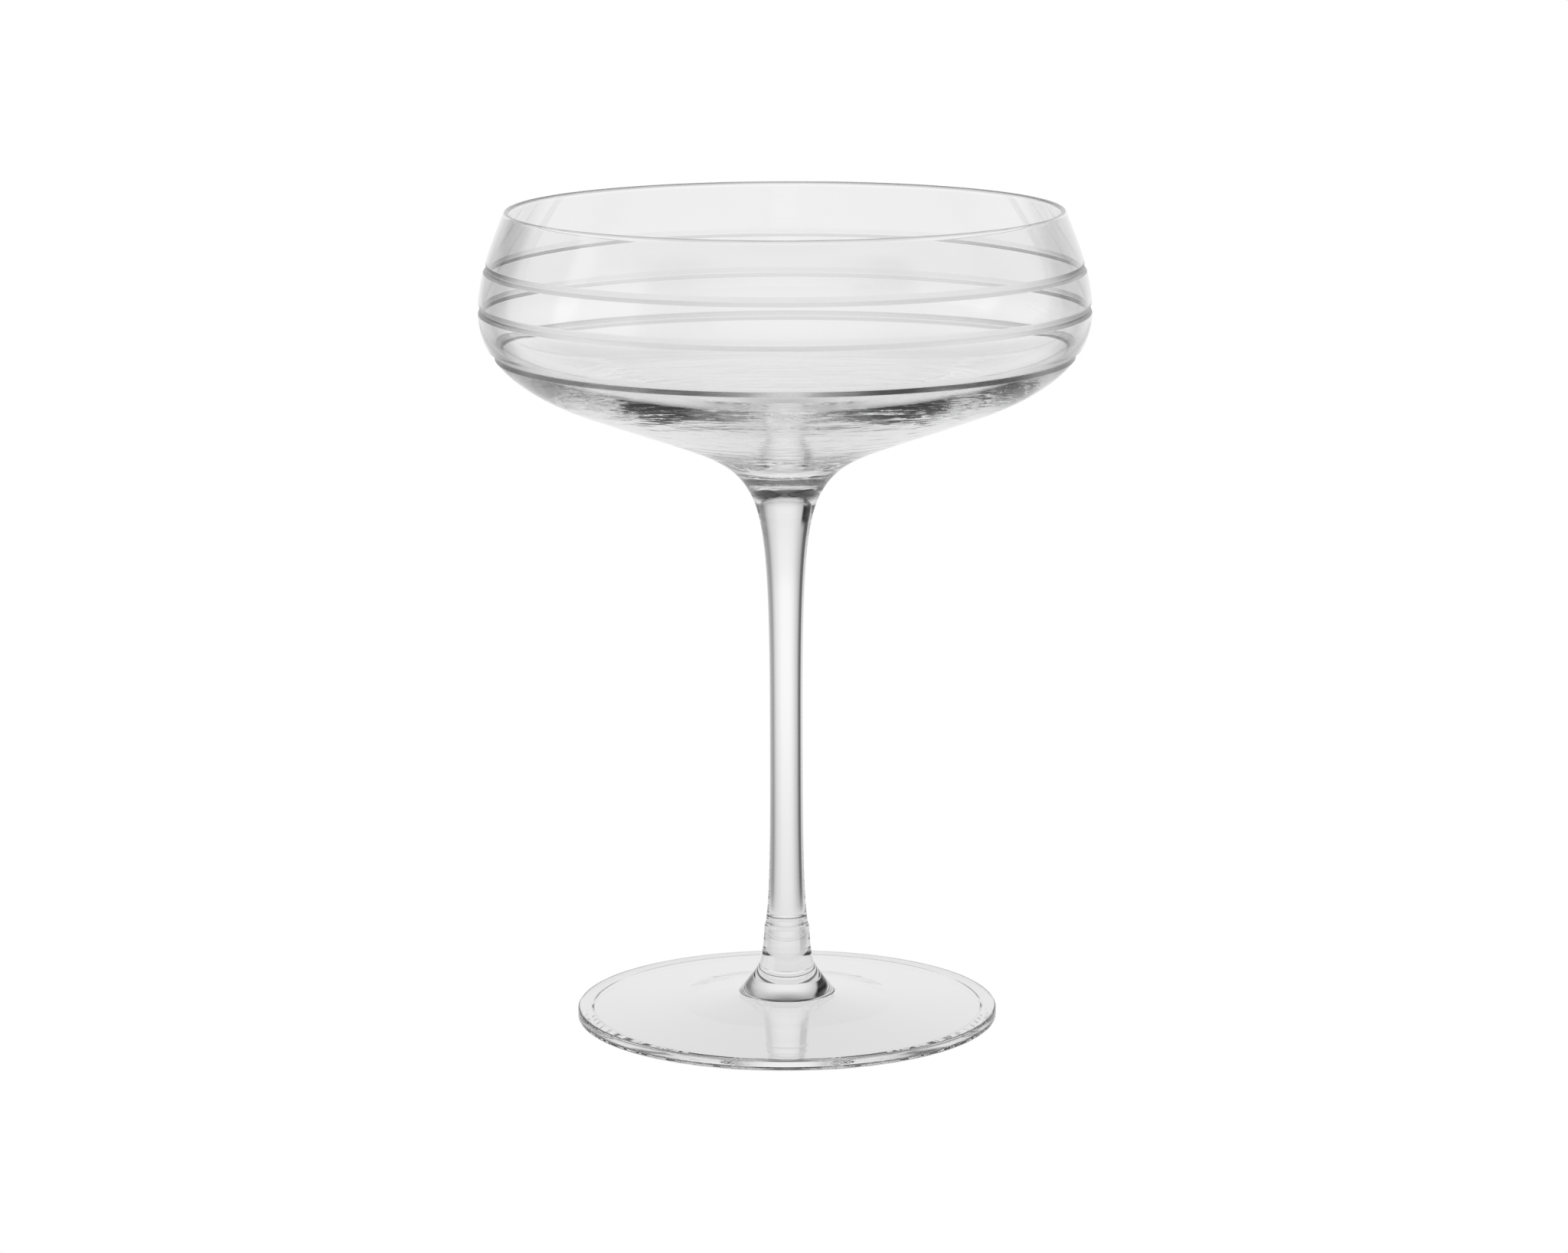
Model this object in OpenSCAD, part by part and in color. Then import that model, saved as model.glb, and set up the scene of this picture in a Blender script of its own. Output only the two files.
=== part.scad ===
// Coupe glass of clear crystal: a wide shallow bowl with three ring cuts, a drawn stem and a pressed foot.
// Every size is in millimetres. The origin is the centre of the face the foot rests on, and +Z is up.
// The three pieces are turned outlines. They meet at flat round seams, where hot glass fuses to hot glass.

/* [Foot] */
// Diameter of the foot
foot_d = 80.2; // [66:0.2:96]
// Height of the foot's seam with the stem, above the table
foot_h = 18.2; // [14:0.2:26]
// Thickness of the foot at its outer edge
foot_edge_t = 2.15; // [1.4:0.05:3.2]
// Radius of the edge's two softened corners
foot_edge_round_r = 0.45; // [0.2:0.05:0.7]
// Diameter of the post just under its seam
post_d = 8.64; // [8.4:0.02:9.4]
// Height over which the post widens from its seam to that
post_shoulder_h = 1.1; // [0.8:0.1:2]
// Diameter where the post's skirt runs out onto the foot
skirt_d = 18.3; // [14:0.1:24]
// Height of the foot's upper face where the skirt runs out
skirt_h = 4.8; // [4:0.1:7]
// Diameter where the foot's upper face turns from a curve to a straight fall
apron_d = 40; // [30:0.5:46]
// Fall of the foot's upper face from there to its edge
apron_fall = 4.5; // [3.5:0.1:5.5]
// Fall of the foot's upper face where the skirt runs out
skirt_foot_fall = 5; // [4:0.5:8]
// Width of the flat ring that stands on the table
rest_ring_w = 2.35; // [1.5:0.05:5]
// Width of the step from that ring up to the hollow
rest_step_w = 0.4; // [0.2:0.05:0.8]
// Height of that step
rest_step_h = 0.25; // [0.1:0.05:0.4]
// Diameter where the underside turns from a straight rise to the curve of its middle
hollow_flat_d = 42; // [34:0.5:50]
// Rise of the underside where that curve starts
hollow_rise = 6; // [5:0.5:8]
// Height of the hollow's middle over the start of that curve
hollow_dome_h = 1.9; // [1.5:0.1:2.2]

/* [Stem] */
// Height of the stem between its two seams
stem_h = 83.3; // [60:0.5:110]
// Diameter of the stem at its waist
stem_d = 6.24; // [5:0.02:7.6]
// Height of the waist above the foot's seam
waist_h = 40; // [28:0.5:48]
// Diameter of the seam between the stem and the foot
foot_seam_d = 8; // [7.8:0.1:10]
// Radius of the softened edges on each side of the foot's seam
seam_round_r = 0.4; // [0.1:0.05:0.7]

/* [Bowl] */
// Height of the bowl from its seam with the stem to the rim
bowl_h = 53.5; // [50:0.5:64]
// Outer diameter at the rim
rim_d = 104.8; // [96:0.2:112]
// Diameter of the bowl at its widest
belly_d = 114.7; // [113:0.1:124]
// Height of the widest place above the bowl's seam
belly_h = 34.6; // [31:0.1:38]
// Diameter of the place halfway down the bowl's shallow cone
cone_d = 77.6; // [66:0.2:84]
// Height of that place above the bowl's seam
cone_h = 16.1; // [14:0.1:18]
// Diameter of the seam between the bowl and the stem
bowl_seam_d = 13.4; // [11:0.1:16]

/* [Bowl wall] */
// Wall at the rim
rim_t = 1; // [0.8:0.1:1.6]
// Wall at the widest place
belly_t = 0.88; // [0.8:0.02:1.6]
// Wall at the cone, square to it
cone_t = 2.3; // [1.2:0.1:3.4]
// Height of the inside's lowest point above the bowl's seam
floor_h = 7.6; // [6:0.1:9.5]

/* [Ring cuts] */
// Height of the upper ring cut above the bowl's seam
upper_ring_h = 43.05; // [40:0.05:46]
// Height of the middle ring cut above the bowl's seam
middle_ring_h = 35.45; // [33:0.05:38]
// Height of the lower ring cut above the bowl's seam
lower_ring_h = 26.9; // [24:0.1:30]
// Width of the upper ring cut at the face of the wall
upper_ring_w = 1.8; // [1.2:0.1:2.4]
// Width of the middle ring cut at the face of the wall
middle_ring_w = 2; // [1.2:0.1:2.4]
// Width of the lower ring cut at the face of the wall
lower_ring_w = 2.5; // [1.6:0.1:2.8]
// Slope of the upper and middle ring cuts' flanks from the face of the wall
ring_slope = 20; // [12:1:22]
// Slope of the lower ring cut's upper flank
lower_ring_upper_slope = 17; // [12:1:20]
// Slope of the lower ring cut's lower flank
lower_ring_lower_slope = 28; // [18:1:30]

/* [Slopes] */
// Lean of the wall at the rim, from the vertical
rim_lean = 22; // [12:1:28]
// Rise of the bowl's shallow cone, from the horizontal
cone_rise = 20.5; // [16:0.5:26]
// Rise of the same cone on the inside
inside_cone_rise = 20.5; // [15:0.5:26]
// Lean of the outline at the bowl's seam, from the vertical
bowl_seam_lean = 28; // [20:1:36]
// Lean of the stem where it meets the foot's seam, from the vertical
foot_seam_lean = 9; // [4:1:14]
// Lean of the post where it leaves its seam, from the vertical
post_shoulder_lean = 40; // [30:1:50]
// Lean of the post's straight part, from the vertical
post_lean = 3; // [1:1:6]
// Lean of the post's skirt where it runs out, from the vertical
skirt_lean = 38; // [30:1:46]

/* [Hidden] */
clear_crystal = [0.86, 0.90, 0.92, 0.45];
stem_crystal = [0.78, 0.84, 0.88, 0.55];
foot_crystal = [0.82, 0.87, 0.90, 0.50];
// Each curve's two handles, as shares of the distance between its ends
wall_handle_shares = [0.37, 0.33];
belly_handle_shares = [0.42, 0.25];
cone_handle_shares = [0.63, 0.23];
stem_top_handle_shares = [0.14, 0.65];
stem_foot_handle_shares = [0.35, 0.16];
post_handle_shares = [0.59, 0.48];
shoulder_handle_shares = [0.3, 0.4];
apron_handle_shares = [0.3, 0.4];
inside_cone_handle_shares = [0.45, 0.3];
hollow_handle_shares = [0.6, 0.15];
curve_steps = 14;
round_steps = 8;
$fn = 96;

foot_seam_z = foot_h;
bowl_seam_z = foot_h + stem_h;
belly_r = belly_d / 2;
cone_r = cone_d / 2;
foot_seam_r = foot_seam_d / 2;
bowl_seam_r = bowl_seam_d / 2;
// Each ring cut's height, width, upper slope and lower slope
ring_cuts = [
    [upper_ring_h, upper_ring_w, ring_slope, ring_slope],
    [middle_ring_h, middle_ring_w, ring_slope, ring_slope],
    [lower_ring_h, lower_ring_w, lower_ring_upper_slope, lower_ring_lower_slope]
];

// Unit direction that goes down and outwards, at an angle from the vertical
function down_out(lean) = [sin(lean), -cos(lean)];

// Point on a cubic curve, at a share of its length
function curve_point(ends, handles, share) =
    pow(1 - share, 3) * ends[0]
    + 3 * pow(1 - share, 2) * share * handles[0]
    + 3 * (1 - share) * pow(share, 2) * handles[1]
    + pow(share, 3) * ends[1];

// Curve between two points that leaves and arrives along two directions
function curve(from, leave, to, arrive, handle_shares) =
    let (span = norm(to - from))
    let (handles = [from + leave * span * handle_shares[0], to - arrive * span * handle_shares[1]])
    [for (i = [0:curve_steps]) curve_point([from, to], handles, i / curve_steps)];

// Points of an arc about a centre, from one angle to another
function arc(centre, radius, from_angle, to_angle) =
    [for (i = [0:round_steps])
        let (angle = from_angle + (to_angle - from_angle) * i / round_steps)
        centre + radius * [cos(angle), sin(angle)]];

// Outer outline of the bowl, from the rim down to the seam, with heights above the seam
rim_centre = [rim_d / 2 - rim_t / 2, bowl_h - rim_t / 2];
rim_normal = [cos(rim_lean), sin(rim_lean)];
belly_point = [belly_r, belly_h];
cone_point = [cone_r, cone_h];
cone_fall = -[cos(cone_rise), sin(cone_rise)];
bowl_seam_point = [bowl_seam_r, 0];
bowl_outer = concat(
    curve(rim_centre + rim_normal * rim_t / 2, down_out(rim_lean), belly_point, [0, -1], wall_handle_shares),
    curve(belly_point, [0, -1], cone_point, cone_fall, belly_handle_shares),
    curve(cone_point, cone_fall, bowl_seam_point, down_out(-bowl_seam_lean), cone_handle_shares)
);

// Inner outline of the bowl, from the rim down to the middle of its floor
belly_inside = belly_point - [belly_t, 0];
cone_inside = cone_point + cone_t * [-sin(cone_rise), cos(cone_rise)];
inside_cone_fall = -[cos(inside_cone_rise), sin(inside_cone_rise)];
floor_point = [0, floor_h];
bowl_inner = concat(
    curve(rim_centre - rim_normal * rim_t / 2, down_out(rim_lean), belly_inside, [0, -1], wall_handle_shares),
    curve(belly_inside, [0, -1], cone_inside, inside_cone_fall, belly_handle_shares),
    curve(cone_inside, inside_cone_fall, floor_point, [-1, 0], inside_cone_handle_shares)
);

// Radius of the bowl's outer outline at a height, and the angle of the direction square to the wall over a width there
function bowl_outer_r(height) = lookup(height, [for (point = bowl_outer) [point[1], point[0]]]);
function bowl_outer_tilt(height, width) =
    let (widening = bowl_outer_r(height + width / 2) - bowl_outer_r(height - width / 2))
    atan2(-widening, width);

// Section of the glass that the wheel takes out for one ring cut
module ring_cut(height, width, upper_slope, lower_slope) {
    depth = width / (1 / tan(upper_slope) + 1 / tan(lower_slope));
    upper_run = depth / tan(upper_slope);
    lower_run = depth / tan(lower_slope);
    bottom = width / 2 - upper_run;
    translate([bowl_outer_r(height), height])
        rotate(bowl_outer_tilt(height, width))
            polygon([[-depth, bottom], [depth, bottom - 2 * lower_run], [depth, bottom + 2 * upper_run]]);
}

// Section of the bowl, heights above its seam
module bowl_section() {
    difference() {
        polygon(concat(
            [for (i = [len(bowl_inner) - 1:-1:0]) bowl_inner[i]],
            arc(rim_centre, rim_t / 2, 180 + rim_lean, rim_lean),
            bowl_outer,
            [[0, 0]]
        ));
        for (cut = ring_cuts)
            ring_cut(cut[0], cut[1], cut[2], cut[3]);
    }
}

// Outline of the stem, from its top seam down to the foot's seam
waist_point = [stem_d / 2, foot_seam_z + waist_h];
stem_foot_point = [foot_seam_r, foot_seam_z + seam_round_r];
stem_outer = concat(
    curve([bowl_seam_r, bowl_seam_z], down_out(-bowl_seam_lean), waist_point, [0, -1], stem_top_handle_shares),
    curve(waist_point, [0, -1], stem_foot_point, down_out(foot_seam_lean), stem_foot_handle_shares)
);

// Outline of the foot, from the seam out to its edge
post_point = [post_d / 2, foot_seam_z - post_shoulder_h];
skirt_point = [skirt_d / 2, skirt_h];
apron_direction = [cos(apron_fall), -sin(apron_fall)];
edge_centre_r = foot_d / 2 - foot_edge_round_r;
edge_top_centre = [edge_centre_r, foot_edge_t - foot_edge_round_r];
edge_low_centre = [edge_centre_r, foot_edge_round_r];
edge_top = edge_top_centre + foot_edge_round_r * [sin(apron_fall), cos(apron_fall)];
apron_point = edge_top - apron_direction * (edge_top[0] - apron_d / 2) / apron_direction[0];
foot_outer = concat(
    curve([foot_seam_r, foot_seam_z], down_out(post_shoulder_lean), post_point, down_out(post_lean), shoulder_handle_shares),
    curve(post_point, down_out(post_lean), skirt_point, down_out(skirt_lean), post_handle_shares),
    curve(skirt_point, [cos(skirt_foot_fall), -sin(skirt_foot_fall)], apron_point, apron_direction, apron_handle_shares)
);

// Outline of the foot's underside, from the flat ring over its step up to the middle of the hollow
rest_inner = [edge_centre_r - rest_ring_w, 0];
step_top = rest_inner + [-rest_step_w, rest_step_h];
hollow_point = step_top - apron_direction * (step_top[0] - hollow_flat_d / 2) / apron_direction[0];
hollow_middle = [0, hollow_point[1] + hollow_dome_h];
foot_under = concat(
    [rest_inner, step_top],
    curve(hollow_point, [-cos(hollow_rise), sin(hollow_rise)], hollow_middle, [-1, 0], hollow_handle_shares)
);

// The blown and cut bowl, open at the top, with its solid throat
module bowl() {
    color(clear_crystal)
        translate([0, 0, bowl_seam_z])
            rotate_extrude()
                bowl_section();
}

// The drawn solid stem, widest where it meets the bowl
module stem() {
    color(stem_crystal)
        rotate_extrude()
            polygon(concat(
                [[0, bowl_seam_z]],
                stem_outer,
                arc([foot_seam_r - seam_round_r, stem_foot_point[1]], seam_round_r, 0, -90),
                [[0, foot_seam_z]]
            ));
}

// The pressed foot: a post with a skirt, a thin disc, and a shallow hollow beneath that runs level with its upper face
module foot() {
    color(foot_crystal)
        rotate_extrude()
            polygon(concat(
                [[0, foot_seam_z]],
                foot_outer,
                arc(edge_top_centre, foot_edge_round_r, 90 - apron_fall, 0),
                arc(edge_low_centre, foot_edge_round_r, 0, -90),
                foot_under
            ));
}

bowl();
stem();
foot();
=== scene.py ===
import math

import bpy
import numpy as np
from mathutils import Matrix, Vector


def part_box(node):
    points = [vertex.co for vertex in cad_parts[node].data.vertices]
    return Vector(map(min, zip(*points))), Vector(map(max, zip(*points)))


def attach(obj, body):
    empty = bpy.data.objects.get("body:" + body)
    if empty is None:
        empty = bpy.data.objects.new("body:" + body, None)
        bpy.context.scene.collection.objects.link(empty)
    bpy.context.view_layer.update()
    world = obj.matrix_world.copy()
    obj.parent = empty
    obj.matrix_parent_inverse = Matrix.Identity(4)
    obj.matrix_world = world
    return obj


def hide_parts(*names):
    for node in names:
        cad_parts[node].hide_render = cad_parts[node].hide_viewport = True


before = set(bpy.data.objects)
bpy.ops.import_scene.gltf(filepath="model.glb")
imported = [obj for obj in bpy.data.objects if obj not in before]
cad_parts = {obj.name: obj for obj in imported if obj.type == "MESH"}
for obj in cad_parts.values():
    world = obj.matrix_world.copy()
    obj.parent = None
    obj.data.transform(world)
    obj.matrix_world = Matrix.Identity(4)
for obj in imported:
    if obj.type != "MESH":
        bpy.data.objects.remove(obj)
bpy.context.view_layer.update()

# The bowl.
# A gather of clear crystal blown wide and shallow in a turning mould, with a solid throat left under its
# floor. Its rim is cracked off, ground flat and fire polished round. Three rings are then cut round the
# outside with a mitre wheel and polished back to a faint satin.
MM = 0.001
bowl_low, bowl_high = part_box("bowl")
bowl_h = bowl_high.z - bowl_low.z
RIM_R = 52.4 * MM
RIM_T = 1.0 * MM
RIM_LEAN = math.radians(22)
BELLY_R = 57.35 * MM
BELLY_H = 34.6 * MM
BELLY_T = 0.88 * MM
CONE_R = 38.8 * MM
CONE_H = 16.1 * MM
CONE_T = 2.3 * MM
CONE_RISE = math.radians(20.5)
INSIDE_CONE_RISE = math.radians(20.5)
FLOOR_H = 7.6 * MM
BOWL_SEAM_R = 6.7 * MM
BOWL_SEAM_LEAN = math.radians(28)
WALL_HANDLE_SHARES = (0.37, 0.33)
BELLY_HANDLE_SHARES = (0.42, 0.25)
CONE_HANDLE_SHARES = (0.63, 0.23)
INSIDE_CONE_HANDLE_SHARES = (0.45, 0.3)
RING_HEIGHTS = (43.05 * MM, 35.45 * MM, 26.9 * MM)
RING_WIDTHS = (1.8 * MM, 2.0 * MM, 2.5 * MM)
UPPER_FLANKS = (math.radians(20), math.radians(20), math.radians(17))
LOWER_FLANKS = (math.radians(20), math.radians(20), math.radians(28))
RING_BOTTOM_R = 0.4 * MM
SOFTENED_EDGE = 0.05 * MM
CURVE_STEPS = 44
ROUND_STEPS = 12
TURN_STEPS = 240
HALVINGS = 40
SAME_PLACE = 0.0001 * MM  # points closer than this are one point
SHARP_ANGLE = math.radians(55)
SEAM_SLOT = 1
RING_SLOT = 2


def down_out(lean):
    """Unit direction in an outline that goes down and outwards, at an angle from the vertical."""
    return np.array([math.sin(lean), -math.cos(lean)])


def curve(start, leave, end, arrive, handle_shares, steps=CURVE_STEPS):
    """Points of a cubic curve that leaves and arrives along two directions."""
    start, end = np.array(start, float), np.array(end, float)
    span = np.linalg.norm(end - start)
    first = start + np.array(leave) * span * handle_shares[0]
    second = end - np.array(arrive) * span * handle_shares[1]
    t = np.linspace(0, 1, steps + 1)[:, None]
    return (1 - t) ** 3 * start + 3 * (1 - t) ** 2 * t * first + 3 * (1 - t) * t**2 * second + t**3 * end


def arc(centre, radius, start_angle, end_angle, steps=ROUND_STEPS):
    """Points of an arc of an outline about a centre."""
    angles = np.linspace(start_angle, end_angle, steps + 1)[:, None]
    return np.array(centre) + radius * np.hstack([np.cos(angles), np.sin(angles)])


def cut_ring(outline, height, width, upper_angle, lower_angle):
    """Cuts one ring into an outline that runs downwards: two flanks, a blunt bottom and softened edges."""
    rows = np.argsort(outline[:, 1])
    heights, radii = outline[rows, 1], outline[rows, 0]
    here = np.array([np.interp(height, heights, radii), height])
    # Square to the wall is out of it, and along it is down.
    reach = width / 2
    rise = np.interp(height + reach, heights, radii) - np.interp(height - reach, heights, radii)
    square = np.array([2 * reach, -rise]) / math.hypot(2 * reach, rise)
    along = np.array([square[1], -square[0]])
    depth = width / (1 / math.tan(upper_angle) + 1 / math.tan(lower_angle))
    meeting = here - square * depth + along * (depth / math.tan(upper_angle) - width / 2)
    to_centre_along = along * (math.cos(lower_angle) - math.cos(upper_angle))
    to_centre = to_centre_along + square * (math.sin(lower_angle) + math.sin(upper_angle))
    centre = meeting + RING_BOTTOM_R * to_centre / math.sin(upper_angle + lower_angle)
    angles = np.linspace(-upper_angle, lower_angle, ROUND_STEPS + 1)[:, None]
    bottom = centre + RING_BOTTOM_R * (np.sin(angles) * along - np.cos(angles) * square)
    flank = math.cos(lower_angle) * along + math.sin(lower_angle) * square
    other_flank = -math.cos(upper_angle) * along + math.sin(upper_angle) * square

    def meets_wall(start, direction):
        """The point where a flank comes out of the wall, by halving."""
        near, far = 0.0, width
        for _ in range(HALVINGS):
            middle = (near + far) / 2
            point = start + direction * middle
            clear_of_wall = point[0] > np.interp(point[1], heights, radii)
            near, far = (near, middle) if clear_of_wall else (middle, far)
        return start + direction * far

    upper = meets_wall(bottom[0], other_flank)
    lower = meets_wall(bottom[-1], flank)
    above = outline[outline[:, 1] > upper[1] + SOFTENED_EDGE]
    below = outline[outline[:, 1] < lower[1] - SOFTENED_EDGE]
    return np.vstack([
        above,
        upper + (above[-1] - upper) / np.linalg.norm(above[-1] - upper) * SOFTENED_EDGE,
        upper,
        upper - other_flank * SOFTENED_EDGE,
        bottom,
        lower - flank * SOFTENED_EDGE,
        lower,
        lower + (below[0] - lower) / np.linalg.norm(below[0] - lower) * SOFTENED_EDGE,
        below,
    ])


def turned(name, outline, z, seam_heights=()):
    """A mesh turned about the upright axis from an outline of (radius, height) points, its heights from z.
    Its flat faces at a seam's height go into the seam's slot."""
    later = range(1, len(outline))
    keep = [0] + [i for i in later if np.linalg.norm(outline[i] - outline[i - 1]) > SAME_PLACE]
    outline = outline[keep]
    turns = [2 * math.pi * i / TURN_STEPS for i in range(TURN_STEPS)]
    points, rings = [], []
    for radius, height in outline:
        if radius < SAME_PLACE:
            rings.append([len(points)] * TURN_STEPS)
            points.append((0.0, 0.0, height + z))
            continue
        rings.append(list(range(len(points), len(points) + TURN_STEPS)))
        points += [(radius * math.cos(a), radius * math.sin(a), height + z) for a in turns]
    faces, slots = [], []
    for row, (first, second) in enumerate(zip(rings, rings[1:])):
        flat = abs(outline[row][1] - outline[row + 1][1]) < SAME_PLACE
        at_seam = flat and any(abs(outline[row][1] - height) < SAME_PLACE for height in seam_heights)
        for i in range(TURN_STEPS):
            j = (i + 1) % TURN_STEPS
            corners = [first[j], first[i], second[i], second[j]]
            faces.append([c for k, c in enumerate(corners) if c != corners[k - 1]])
            slots.append(SEAM_SLOT if at_seam else 0)
    mesh = bpy.data.meshes.new(name)
    mesh.from_pydata(points, [], faces)
    mesh.update()
    mesh.polygons.foreach_set("material_index", slots)
    mesh.polygons.foreach_set("use_smooth", [True] * len(faces))
    mesh.set_sharp_from_angle(angle=SHARP_ANGLE)
    piece = bpy.data.objects.new(name, mesh)
    bpy.context.scene.collection.objects.link(piece)
    return piece


def linear(hex_colour):
    """An sRGB hex colour as linear light, with alpha 1."""
    parts = [int(hex_colour[i : i + 2], 16) / 255 for i in (1, 3, 5)]
    return tuple(p / 12.92 if p <= 0.04045 else ((p + 0.055) / 1.055) ** 2.4 for p in parts) + (1.0,)


def bare_material(name):
    """A new material and its node tree, with no node in it yet."""
    material = bpy.data.materials.new(name)
    material.use_nodes = True
    material.node_tree.nodes.clear()
    return material, material.node_tree


def node(tree, kind, settings=None, **links):
    """Adds a node with its settings and its inputs, each a value or another node's output.
    An input goes by its name, with _ for a space, or as i0, i1 and so on by its number."""
    made = tree.nodes.new(kind)
    for key, value in (settings or {}).items():
        setattr(made, key, value)
    for key, value in links.items():
        socket = made.inputs[int(key[1:])] if key[1:].isdigit() else made.inputs[key.replace("_", " ")]
        if isinstance(value, bpy.types.NodeSocket):
            tree.links.new(value, socket)
        else:
            socket.default_value = value
    return made


CRYSTAL_COLOUR = "#ffffff"
CRYSTAL_IOR = 1.52
POLISHED_ROUGHNESS = 0.0
RING_ROUGHNESS = 0.25
# Real turning marks lie a few tenths of a millimetre apart. They are drawn coarser, so that they show.
MARK_SPACING = 1.4 * MM
MARK_DEPTH = 0.1 * MM
MARK_DETAIL = 1.5
MARKS_ROUND = 2.0  # how much a mark changes on its way round the bowl
MARKS_FULL_R = 36 * MM
MARKS_TO_R = 46 * MM
WAVE_SPACING = 14 * MM
WAVE_DEPTH = 0.01 * MM


def blown_crystal(name, roughness):
    """Clear lead-free crystal, blown in a turning mould: colourless, mirror smooth, with a slow wave over the
    wall and fine turning marks that run round the lower bowl, fading out before the belly. A wheel-cut ring
    in it is polished back to a faint satin."""
    material, tree = bare_material(name)
    place = node(tree, "ShaderNodeTexCoord").outputs["Object"]
    flat = node(tree, "ShaderNodeVectorMath", {"operation": "MULTIPLY"}, i0=place, i1=(1, 1, 0))
    flat = flat.outputs["Vector"]
    reach = node(tree, "ShaderNodeVectorMath", {"operation": "LENGTH"}, i0=flat).outputs["Value"]
    round_it = node(tree, "ShaderNodeVectorMath", {"operation": "NORMALIZE"}, i0=flat).outputs["Vector"]
    scaled = node(tree, "ShaderNodeVectorMath", {"operation": "SCALE"}, i0=round_it, Scale=MARKS_ROUND)
    spaced = node(tree, "ShaderNodeMath", {"operation": "DIVIDE"}, i0=reach, i1=MARK_SPACING)
    outwards = node(tree, "ShaderNodeCombineXYZ", Z=spaced.outputs["Value"]).outputs["Vector"]
    where = node(tree, "ShaderNodeVectorMath", {"operation": "ADD"}, i0=scaled.outputs["Vector"], i1=outwards)
    marks = node(tree, "ShaderNodeTexNoise", Vector=where.outputs["Vector"], Scale=1.0, Detail=MARK_DETAIL)
    fade = node(tree, "ShaderNodeMapRange", i0=reach, i1=MARKS_TO_R, i2=MARKS_FULL_R, i3=0.0, i4=1.0)
    faded = node(
        tree, "ShaderNodeMath", {"operation": "MULTIPLY"}, i0=marks.outputs["Fac"], i1=fade.outputs["Result"],
    )
    marked = node(tree, "ShaderNodeBump", Height=faded.outputs["Value"], Strength=1.0, Distance=MARK_DEPTH)
    wave = node(tree, "ShaderNodeTexNoise", Vector=place, Scale=1 / WAVE_SPACING, Detail=1.0)
    bump = node(
        tree, "ShaderNodeBump", Height=wave.outputs["Fac"], Strength=1.0, Distance=WAVE_DEPTH,
        Normal=marked.outputs["Normal"],
    )
    glass = node(
        tree, "ShaderNodeBsdfPrincipled", Base_Color=linear(CRYSTAL_COLOUR), Roughness=roughness,
        IOR=CRYSTAL_IOR, Transmission_Weight=1.0, Normal=bump.outputs["Normal"],
    )
    node(tree, "ShaderNodeOutputMaterial", Surface=glass.outputs["BSDF"])
    return material


def fused_seam():
    """Where two pieces fused, no surface is left for light to meet, so the seam's faces are not seen."""
    material = bpy.data.materials.new("fused_seam")
    material.use_nodes = True
    shader = material.node_tree.nodes["Principled BSDF"]
    shader.inputs["Alpha"].default_value = 0.0
    return material


rim_centre = np.array([RIM_R - RIM_T / 2, bowl_h - RIM_T / 2])
rim_normal = np.array([math.cos(RIM_LEAN), math.sin(RIM_LEAN)])
belly_point = np.array([BELLY_R, BELLY_H])
cone_point = np.array([CONE_R, CONE_H])
cone_fall = -np.array([math.cos(CONE_RISE), math.sin(CONE_RISE)])
down = (0, -1)
inwards = (-1, 0)
outside = np.vstack([
    curve(rim_centre + rim_normal * RIM_T / 2, down_out(RIM_LEAN), belly_point, down, WALL_HANDLE_SHARES),
    curve(belly_point, down, cone_point, cone_fall, BELLY_HANDLE_SHARES)[1:],
    curve(cone_point, cone_fall, (BOWL_SEAM_R, 0), down_out(-BOWL_SEAM_LEAN), CONE_HANDLE_SHARES)[1:],
])
for ring in zip(RING_HEIGHTS, RING_WIDTHS, UPPER_FLANKS, LOWER_FLANKS):
    outside = cut_ring(outside, *ring)
belly_inside = belly_point - np.array([BELLY_T, 0])
cone_inside = cone_point + CONE_T * np.array([-math.sin(CONE_RISE), math.cos(CONE_RISE)])
inside_fall = -np.array([math.cos(INSIDE_CONE_RISE), math.sin(INSIDE_CONE_RISE)])
inside = np.vstack([
    curve(rim_centre - rim_normal * RIM_T / 2, down_out(RIM_LEAN), belly_inside, down, WALL_HANDLE_SHARES),
    curve(belly_inside, down, cone_inside, inside_fall, BELLY_HANDLE_SHARES)[1:],
    curve(cone_inside, inside_fall, (0, FLOOR_H), inwards, INSIDE_CONE_HANDLE_SHARES)[1:],
])
rim = arc(rim_centre, RIM_T / 2, math.pi + RIM_LEAN, RIM_LEAN)
bowl = turned("bowl_glass", np.vstack([inside[::-1], rim[1:-1], outside, [(0, 0)]]), bowl_low.z, (0,))
bowl.data.materials.append(blown_crystal("blown_crystal", POLISHED_ROUGHNESS))
seam_material = fused_seam()
bowl.data.materials.append(seam_material)
bowl.data.materials.append(blown_crystal("ring_cut_crystal", RING_ROUGHNESS))

# A ring's cut faces get the satin: those on the outside of the wall, up to the ring's softened edges.
CUT_SHARE = 0.46  # of a ring's width, to each side of its middle
OUTSIDE_WITHIN = RIM_T / 3
wall_heights, wall_radii = outside[::-1, 1], outside[::-1, 0]
for face in bowl.data.polygons:
    height = face.center.z - bowl_low.z
    wall_r = np.interp(height, wall_heights, wall_radii)
    on_outside = math.hypot(face.center.x, face.center.y) > wall_r - OUTSIDE_WITHIN
    in_ring = any(abs(height - at) < CUT_SHARE * wide for at, wide in zip(RING_HEIGHTS, RING_WIDTHS))
    if on_outside and in_ring:
        face.material_index = RING_SLOT
bowl.visible_shadow = False  # clear glass throws no hard shadow
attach(bowl, "root")
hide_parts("bowl")

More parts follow.
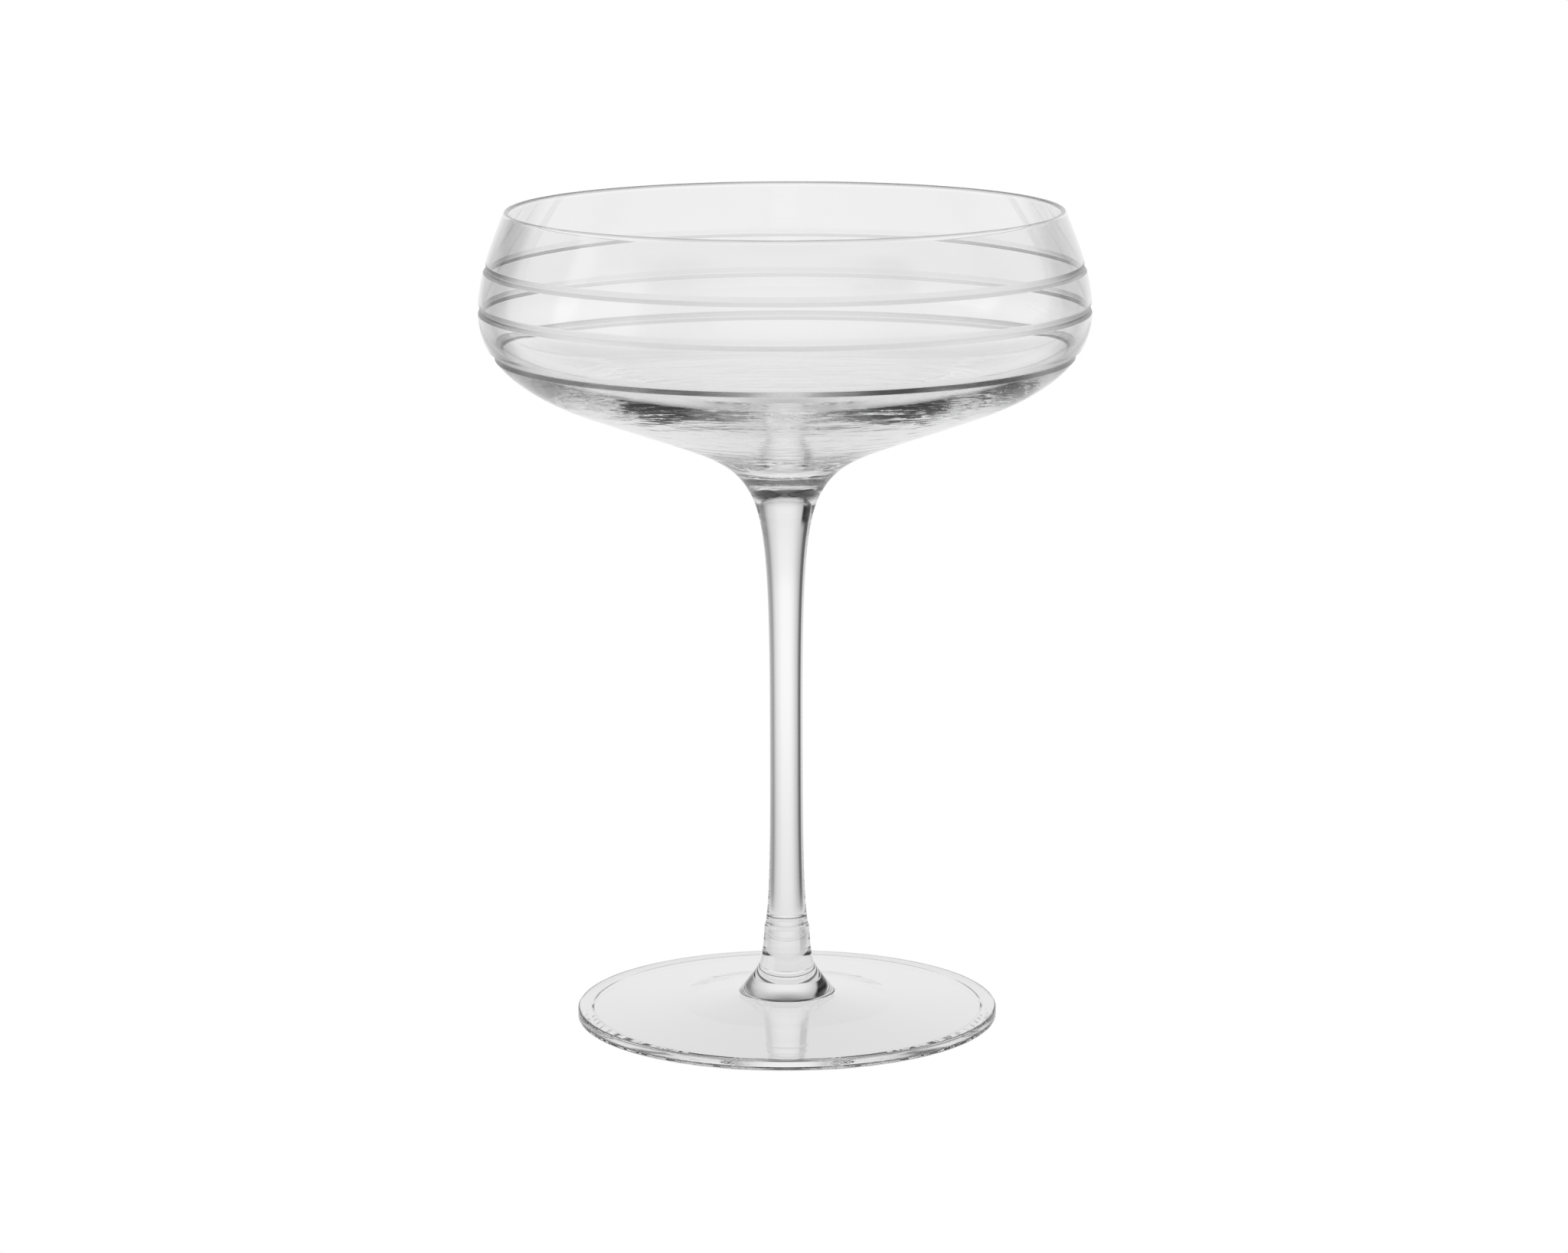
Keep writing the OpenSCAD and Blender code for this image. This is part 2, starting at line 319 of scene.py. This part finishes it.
# The stem.
# A rod of the same crystal, stuck to the bowl's throat while both glow and drawn down to a slim waist.
# It is cut off and fused to the foot's post, and the heat rounds its edge there.
stem_low, stem_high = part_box("stem")
stem_h = stem_high.z - stem_low.z
STEM_R = 3.12 * MM
WAIST_H = 40 * MM
FOOT_SEAM_R = 4 * MM
SEAM_ROUND_R = 0.4 * MM
FOOT_SEAM_LEAN = math.radians(9)
STEM_TOP_HANDLE_SHARES = (0.14, 0.65)
STEM_FOOT_HANDLE_SHARES = (0.35, 0.16)
STREAK_SPACING = 3 * MM
STREAK_DEPTH = 0.004 * MM
STREAK_LENGTHWISE = 0.08  # how fast a streak changes along the stem, as a share of how fast it does across


def drawn_crystal():
    """The same clear crystal drawn out while soft: stretched smooth, with long faint streaks."""
    material, tree = bare_material("drawn_crystal")
    place = node(tree, "ShaderNodeTexCoord").outputs["Object"]
    stretched = node(tree, "ShaderNodeMapping", Vector=place, Scale=(1.0, 1.0, STREAK_LENGTHWISE))
    streak = node(
        tree, "ShaderNodeTexNoise", Vector=stretched.outputs["Vector"], Scale=1 / STREAK_SPACING, Detail=1.0,
    )
    bump = node(tree, "ShaderNodeBump", Height=streak.outputs["Fac"], Strength=1.0, Distance=STREAK_DEPTH)
    glass = node(
        tree, "ShaderNodeBsdfPrincipled", Base_Color=linear(CRYSTAL_COLOUR), Roughness=POLISHED_ROUGHNESS,
        IOR=CRYSTAL_IOR, Transmission_Weight=1.0, Normal=bump.outputs["Normal"],
    )
    node(tree, "ShaderNodeOutputMaterial", Surface=glass.outputs["BSDF"])
    return material


waist_point = (STEM_R, WAIST_H)
stem_foot_point = (FOOT_SEAM_R, SEAM_ROUND_R)
stem_outside = np.vstack([
    [(0, stem_h)],
    curve((BOWL_SEAM_R, stem_h), down_out(-BOWL_SEAM_LEAN), waist_point, down, STEM_TOP_HANDLE_SHARES),
    curve(waist_point, down, stem_foot_point, down_out(FOOT_SEAM_LEAN), STEM_FOOT_HANDLE_SHARES)[1:],
    arc((FOOT_SEAM_R - SEAM_ROUND_R, SEAM_ROUND_R), SEAM_ROUND_R, 0, -math.pi / 2)[1:],
    [(0, 0)],
])
stem = turned("stem_glass", stem_outside, stem_low.z, (0, stem_h))
stem.data.materials.append(drawn_crystal())
stem.data.materials.append(seam_material)
stem.visible_shadow = False
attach(stem, "root")
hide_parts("stem")

# The foot.
# A gob of the same crystal pressed to a thin disc with a short post, whose skirt spreads into the disc.
# It is hollow underneath by 3.5 mm in its middle, so the glass stands on a flat ring near its edge.
foot_low, foot_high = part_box("foot")
foot_r = foot_high.x
foot_h = foot_high.z - foot_low.z
FOOT_EDGE_T = 2.15 * MM
FOOT_EDGE_R = 0.45 * MM
POST_R = 4.32 * MM
POST_TOP_LEAN = math.radians(40)
POST_LEAN = math.radians(3)
POST_SHOULDER_H = 1.1 * MM
SHOULDER_HANDLE_SHARES = (0.3, 0.4)
SHOULDER_STEPS = 10
POST_HANDLE_SHARES = (0.59, 0.48)
SKIRT_R = 9.15 * MM
SKIRT_H = 4.8 * MM
SKIRT_LEAN = math.radians(38)
SKIRT_FOOT_FALL = math.radians(5)
APRON_R = 20 * MM
APRON_FALL = math.radians(4.5)
APRON_HANDLE_SHARES = (0.3, 0.4)
REST_RING_W = 2.35 * MM
REST_STEP_W = 0.4 * MM
REST_STEP_H = 0.25 * MM
HOLLOW_FLAT_R = 21 * MM
HOLLOW_DOME_H = 1.9 * MM
HOLLOW_RISE = math.radians(6)
HOLLOW_HANDLE_SHARES = (0.6, 0.15)
RIPPLE_SPACING = 9 * MM
RIPPLE_DEPTH = 0.004 * MM


def straight(start, end):
    """A straight run with a point close to each end, so that smooth shading stays flat along it."""
    start, end = np.array(start, float), np.array(end, float)
    inset = (end - start) / np.linalg.norm(end - start) * SOFTENED_EDGE
    return np.array([start, start + inset, end - inset, end])


def pressed_crystal():
    """The same clear crystal, pressed and fire polished: a slight ripple, less even than the blown wall."""
    material, tree = bare_material("pressed_crystal")
    place = node(tree, "ShaderNodeTexCoord").outputs["Object"]
    ripple = node(tree, "ShaderNodeTexNoise", Vector=place, Scale=1 / RIPPLE_SPACING, Detail=1.0)
    bump = node(tree, "ShaderNodeBump", Height=ripple.outputs["Fac"], Strength=1.0, Distance=RIPPLE_DEPTH)
    glass = node(
        tree, "ShaderNodeBsdfPrincipled", Base_Color=linear(CRYSTAL_COLOUR), Roughness=POLISHED_ROUGHNESS,
        IOR=CRYSTAL_IOR, Transmission_Weight=1.0, Normal=bump.outputs["Normal"],
    )
    node(tree, "ShaderNodeOutputMaterial", Surface=glass.outputs["BSDF"])
    return material


post_top = (FOOT_SEAM_R, foot_h)
shoulder_point = (POST_R, foot_h - POST_SHOULDER_H)
post_fall = down_out(POST_LEAN)
skirt_point = np.array([SKIRT_R, SKIRT_H])
skirt_foot = np.array([math.cos(SKIRT_FOOT_FALL), -math.sin(SKIRT_FOOT_FALL)])
edge_top_centre = np.array([foot_r - FOOT_EDGE_R, FOOT_EDGE_T - FOOT_EDGE_R])
edge_low_centre = np.array([foot_r - FOOT_EDGE_R, FOOT_EDGE_R])
apron_direction = np.array([math.cos(APRON_FALL), -math.sin(APRON_FALL)])
edge_top = edge_top_centre + FOOT_EDGE_R * np.array([math.sin(APRON_FALL), math.cos(APRON_FALL)])
apron_point = edge_top - apron_direction * (edge_top[0] - APRON_R) / apron_direction[0]
rest_inner = np.array([edge_low_centre[0] - REST_RING_W, 0])
step_top = rest_inner + np.array([-REST_STEP_W, REST_STEP_H])
hollow_point = step_top - apron_direction * (step_top[0] - HOLLOW_FLAT_R) / apron_direction[0]
hollow_rise = np.array([-math.cos(HOLLOW_RISE), math.sin(HOLLOW_RISE)])
hollow_top = (0, hollow_point[1] + HOLLOW_DOME_H)
foot_outside = np.vstack([
    [(0, foot_h)],
    curve(
        post_top, down_out(POST_TOP_LEAN), shoulder_point, post_fall, SHOULDER_HANDLE_SHARES, SHOULDER_STEPS
    ),
    curve(shoulder_point, post_fall, skirt_point, down_out(SKIRT_LEAN), POST_HANDLE_SHARES)[1:],
    curve(skirt_point, skirt_foot, apron_point, apron_direction, APRON_HANDLE_SHARES)[1:],
    straight(apron_point, edge_top),
    arc(edge_top_centre, FOOT_EDGE_R, math.pi / 2 - APRON_FALL, 0),
    straight(edge_top_centre + [FOOT_EDGE_R, 0], edge_low_centre + [FOOT_EDGE_R, 0]),
    arc(edge_low_centre, FOOT_EDGE_R, 0, -math.pi / 2),
    straight(edge_low_centre - [0, FOOT_EDGE_R], rest_inner),
    straight(step_top, hollow_point),
    curve(hollow_point, hollow_rise, hollow_top, inwards, HOLLOW_HANDLE_SHARES),
])
foot = turned("foot_glass", foot_outside, foot_low.z, (foot_h,))
foot.data.materials.append(pressed_crystal())
foot.data.materials.append(seam_material)
foot.visible_shadow = False
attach(foot, "root")
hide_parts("foot")

# The table.
# A plain white table top under soft even light, a hair below the ring that the glass stands on. Only the
# camera sees it: in its place the glass sees the tent's floor and the light under the foot.
TABLE_SIDE = 16.0
TABLE_DROP = 0.2 * MM
WHITE = "#ffffff"


def lit_white(name):
    """Plain white that is lit evenly all over, as a table top under soft light is."""
    material, tree = bare_material(name)
    glow = node(tree, "ShaderNodeEmission", Color=linear(WHITE), Strength=1.0)
    node(tree, "ShaderNodeOutputMaterial", Surface=glow.outputs["Emission"])
    return material


table_mesh = bpy.data.meshes.new("table_top")
half = TABLE_SIDE / 2
table_corners = [(-half, -half, 0), (half, -half, 0), (half, half, 0), (-half, half, 0)]
table_mesh.from_pydata(table_corners, [], [(0, 1, 2, 3)])
table = bpy.data.objects.new("table_top", table_mesh)
bpy.context.scene.collection.objects.link(table)
table.location.z = foot_low.z - TABLE_DROP
table_mesh.materials.append(lit_white("white_table"))
table.visible_transmission = False
table.visible_glossy = False

# The camera.
# A long lens at the photograph's height and distance, a little above the rim. Its place, its lens and its
# slight roll were found from the ellipses of the rim, the rings and the foot.
CAMERA_DISTANCE = 907.9 * MM
CAMERA_HEIGHT = 251.35 * MM
AIM_HEIGHT = 75.8 * MM
AIM_LEFT = 0.37 * MM
CAMERA_ROLL = math.radians(-0.17)
LENS_MM = 112.13
SENSOR_MM = 36
camera = bpy.data.objects.new("camera", bpy.data.cameras.new("camera"))
bpy.context.scene.collection.objects.link(camera)
camera.data.sensor_width = SENSOR_MM
camera.data.lens = LENS_MM
tilt = math.atan2(CAMERA_HEIGHT - AIM_HEIGHT, CAMERA_DISTANCE)
looking = Matrix.Rotation(math.pi / 2 - tilt, 3, "X")
camera.location = (-AIM_LEFT, -CAMERA_DISTANCE, CAMERA_HEIGHT)
camera.rotation_euler = (looking @ Matrix.Rotation(CAMERA_ROLL, 3, "Z")).to_euler()
bpy.context.scene.camera = camera

# The light tent.
# White walls that stand still round the table and show only in the glass: a bright backdrop behind it with
# dark edges and a black card at its left, dimmer walls on the camera's side, and a soft window at the left.
TENT_R = 4.0
TENT_STEPS = 24
# Angles are in degrees, to the right from straight behind the glass, and up from the level.
ACROSS = [
    (-180, 0.25), (-130, 0.25), (-100, 0.35), (-83, 0.55), (-70, 0.7), (-60, 0.78), (-56, 0.66), (-51, 0.25),
    (-46, 0.06), (-41, 0.08), (-36, 0.3), (-31, 0.5), (-24, 0.68), (-17, 0.84), (-8, 0.96), (0, 0.98),
    (10, 0.96), (17, 0.88), (24, 0.8), (31, 0.64), (36, 0.47), (43, 0.29), (50, 0.29), (56, 0.44),
    (62, 0.52), (70, 0.6), (83, 0.5), (100, 0.35), (130, 0.25), (180, 0.25),
]
UPWARD = [
    (-90, 0.5), (-40, 0.6), (-30, 0.72), (-24, 0.79), (-18, 0.84), (-14, 0.88), (-12, 0.94), (-9.5, 1.0),
    (-8, 1.0), (-6.6, 0.99), (-5, 0.94), (-3, 0.91), (0, 0.9), (10, 0.9), (16, 0.86), (22, 0.74),
    (30, 0.45), (38, 0.2), (50, 0.12), (90, 0.1),
]
FLOOR_ACROSS = [
    (-180, 0.3), (-120, 0.35), (-85, 0.8), (-70, 1), (70, 1), (85, 0.8), (120, 0.35), (180, 0.3),
]
FLOOR_UPWARD = [
    (-90, 0.5), (-60, 0.5), (-40, 0.62), (-30, 0.76), (-22, 0.82), (-14, 0.86), (0, 0.86), (90, 0.86),
]
FLOOR_BLEND = (-16, -28)
SOFT_WINDOW = (-126, -82, -4, 32)
WINDOW_LIGHT = 0.75
BLACK_CARD = (-50, -24, 4, 26)
PATCH_EDGE = 6


def tent_light():
    """The inside of the light tent, as bright in each direction as the studio round the glass."""
    material, tree = bare_material("light_tent")
    place = node(tree, "ShaderNodeTexCoord").outputs["Object"]
    direction = node(tree, "ShaderNodeVectorMath", {"operation": "NORMALIZE"}, i0=place)
    split = node(tree, "ShaderNodeSeparateXYZ", Vector=direction.outputs["Vector"]).outputs

    def ramp(value, stops):
        """Brightness against an angle, through (angle, brightness) stops in rising order."""
        low, high = stops[0][0], stops[-1][0]
        start, end = math.radians(low), math.radians(high)
        share = node(tree, "ShaderNodeMapRange", i0=value, i1=start, i2=end, i3=0.0, i4=1.0)
        made = node(tree, "ShaderNodeFloatCurve", Value=share.outputs["Result"])
        points = made.mapping.curves[0].points
        points[0].location = (0, stops[0][1])
        points[1].location = (1, stops[-1][1])
        for angle, light in stops[1:-1]:
            points.new((angle - low) / (high - low), light)
        for point in points:
            point.handle_type = "AUTO_CLAMPED"
        made.mapping.update()
        return made.outputs["Value"]

    def step(value, start, end):
        """A soft step from 0 to 1 between two angles."""
        made = node(
            tree, "ShaderNodeMapRange", {"interpolation_type": "SMOOTHSTEP"},
            i0=value, i1=math.radians(start), i2=math.radians(end), i3=0.0, i4=1.0,
        )
        return made.outputs["Result"]

    def times(first, second):
        """One value times another."""
        return node(tree, "ShaderNodeMath", {"operation": "MULTIPLY"}, i0=first, i1=second).outputs["Value"]

    def mix(share, first, second):
        """The first value, and the second where the share is 1."""
        return node(tree, "ShaderNodeMix", {"data_type": "FLOAT"}, i0=share, i2=first, i3=second).outputs[0]

    def patch(left, right, bottom, top):
        """A share of 1 between four angles, with soft edges."""
        across = times(step(turn, left, left + PATCH_EDGE), step(turn, right, right - PATCH_EDGE))
        upward = times(step(rise, bottom, bottom + PATCH_EDGE), step(rise, top, top - PATCH_EDGE))
        return times(across, upward)

    rise = node(tree, "ShaderNodeMath", {"operation": "ARCSINE"}, i0=split["Z"]).outputs["Value"]
    around = node(tree, "ShaderNodeMath", {"operation": "ARCTAN2"}, i0=split["X"], i1=split["Y"])
    # Light that has passed through the glass finds the same walls on the camera's side as behind the glass,
    # so the glass looks clear from behind too. Light that it mirrors finds the dimmer walls there.
    depth = node(tree, "ShaderNodeMath", {"operation": "ABSOLUTE"}, i0=split["Y"]).outputs["Value"]
    folded = node(tree, "ShaderNodeMath", {"operation": "ARCTAN2"}, i0=split["X"], i1=depth)
    through = node(tree, "ShaderNodeLightPath").outputs["Is Transmission Ray"]
    turn = mix(through, around.outputs["Value"], folded.outputs["Value"])

    walls = times(ramp(turn, ACROSS), ramp(rise, UPWARD))
    floor = times(ramp(turn, FLOOR_ACROSS), ramp(rise, FLOOR_UPWARD))
    light = mix(step(rise, *FLOOR_BLEND), walls, floor)
    window = times(patch(*SOFT_WINDOW), WINDOW_LIGHT)
    light = node(tree, "ShaderNodeMath", {"operation": "ADD"}, i0=light, i1=window).outputs["Value"]
    light = mix(patch(*BLACK_CARD), light, 0.0)
    glow = node(tree, "ShaderNodeEmission", Color=linear(WHITE), Strength=light)
    node(tree, "ShaderNodeOutputMaterial", Surface=glow.outputs["Emission"])
    material.cycles.emission_sampling = "NONE"
    return material


tent = turned("light_tent", arc((0, 0), TENT_R, math.pi / 2, -math.pi / 2, TENT_STEPS), 0)
tent.data.materials.append(tent_light())
tent.visible_camera = False

# The light under the foot.
# The table top as the glass sees it close by: a white disc just above the table, a little dimmed by the
# glass over it, that fades out round the foot. It too shows only in the glass.
GLOW_LIGHT = 0.77
GLOW_FULL_R = 36 * MM
GLOW_R = 52 * MM
GLOW_DROP = 0.1 * MM


def table_glow():
    """White light that fades out towards the disc's edge."""
    material, tree = bare_material("table_glow")
    place = node(tree, "ShaderNodeTexCoord").outputs["Object"]
    reach = node(tree, "ShaderNodeVectorMath", {"operation": "LENGTH"}, i0=place).outputs["Value"]
    fade = node(
        tree, "ShaderNodeMapRange", {"interpolation_type": "SMOOTHSTEP"},
        i0=reach, i1=GLOW_FULL_R, i2=GLOW_R, i3=0.0, i4=1.0,
    ).outputs["Result"]
    glow = node(tree, "ShaderNodeEmission", Color=linear(WHITE), Strength=GLOW_LIGHT).outputs["Emission"]
    clear = node(tree, "ShaderNodeBsdfTransparent").outputs["BSDF"]
    made = node(tree, "ShaderNodeMixShader", i0=fade, i1=glow, i2=clear)
    node(tree, "ShaderNodeOutputMaterial", Surface=made.outputs["Shader"])
    material.cycles.emission_sampling = "NONE"
    return material


glow_disc = turned("table_glow", np.array([(GLOW_R, 0), (0, 0)]), foot_low.z - GLOW_DROP)
glow_disc.data.materials.append(table_glow())
glow_disc.visible_camera = False

# The room.
# Plain white all round, which the camera sees behind the glass. Light may meet the glass often enough to
# find its way through all of its faces.
LIGHT_BOUNCES = 32
world = bpy.data.worlds.new("white_room")
world.use_nodes = True
world.node_tree.nodes["Background"].inputs["Color"].default_value = linear(WHITE)
scene = bpy.context.scene
scene.world = world
scene.view_settings.view_transform = "Standard"
scene.cycles.max_bounces = LIGHT_BOUNCES
scene.cycles.glossy_bounces = LIGHT_BOUNCES
scene.cycles.transmission_bounces = LIGHT_BOUNCES
scene.cycles.transparent_max_bounces = LIGHT_BOUNCES
